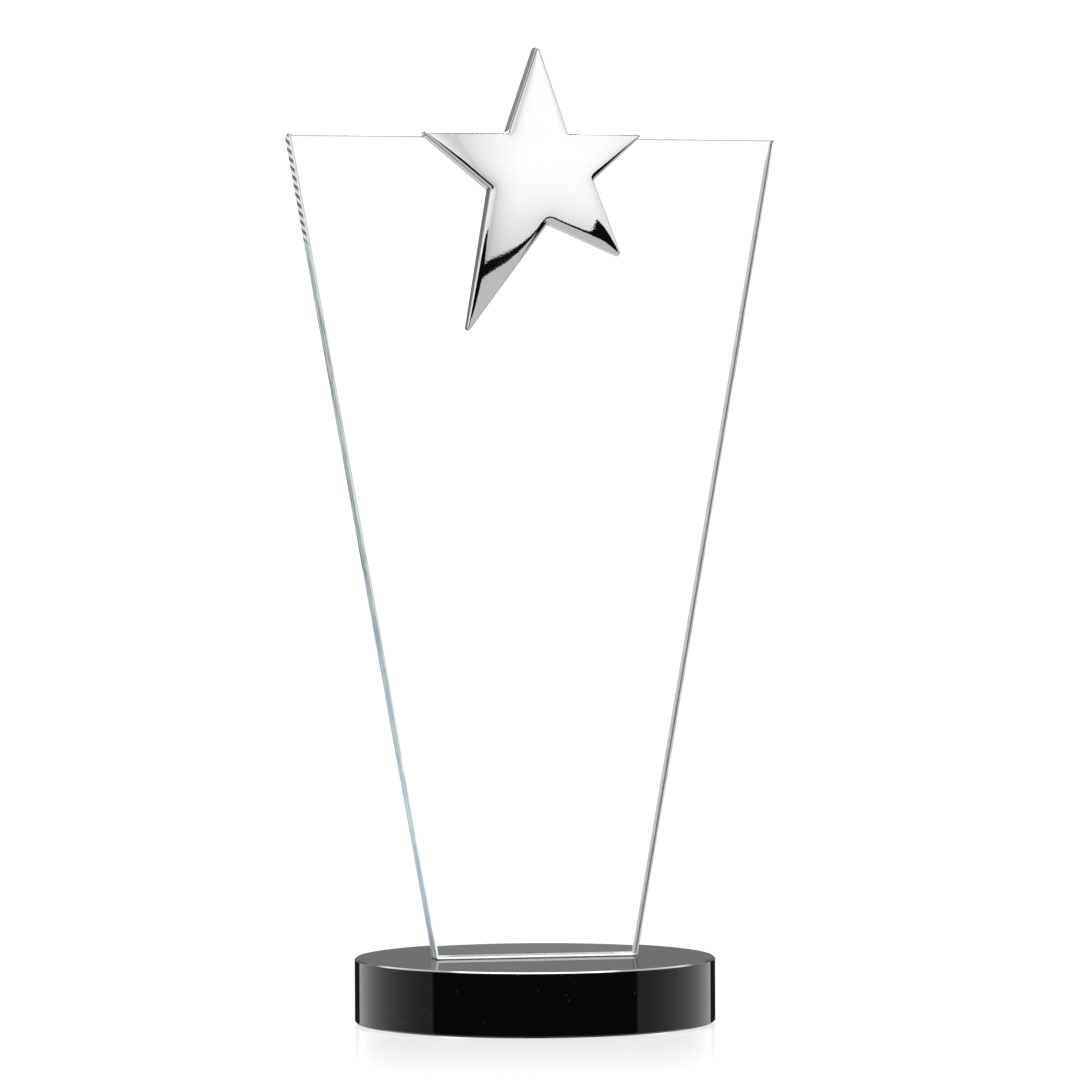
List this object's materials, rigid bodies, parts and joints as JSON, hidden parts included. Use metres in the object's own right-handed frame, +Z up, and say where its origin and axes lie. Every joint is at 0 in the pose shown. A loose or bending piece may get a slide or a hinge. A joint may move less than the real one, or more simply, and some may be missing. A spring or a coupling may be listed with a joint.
{
  "type": "star award",
  "caption": "Free-standing award: a chrome star bonded to a tapered clear glass panel on a round black glass base.",
  "frame": {"origin": "centre of the base on the surface that the award stands on", "axes": "+Z up, the star and the front of the glass face -Y, +X to the right as seen from the front"},
  "size_m": [0.155, 0.113, 0.3051],
  "materials": {
    "bumper": "clear soft polyurethane, smooth",
    "black_glass": "opaque black, polished all over",
    "adhesive": "clear cured adhesive, smooth",
    "clear_glass": "water-clear optical glass, polished faces and bevels",
    "chrome_plate": "bright chrome plate, mirror polished"
  },
  "bodies": {
    "root": {"foot_rear_right": "bumper", "foot_rear_left": "bumper", "foot_front_left": "bumper", "foot_front_right": "bumper", "base_disc": "black_glass", "panel_bond": "adhesive", "crystal_panel": "clear_glass", "star_bond": "adhesive", "star": "chrome_plate"}
  },
  "joints": []
}
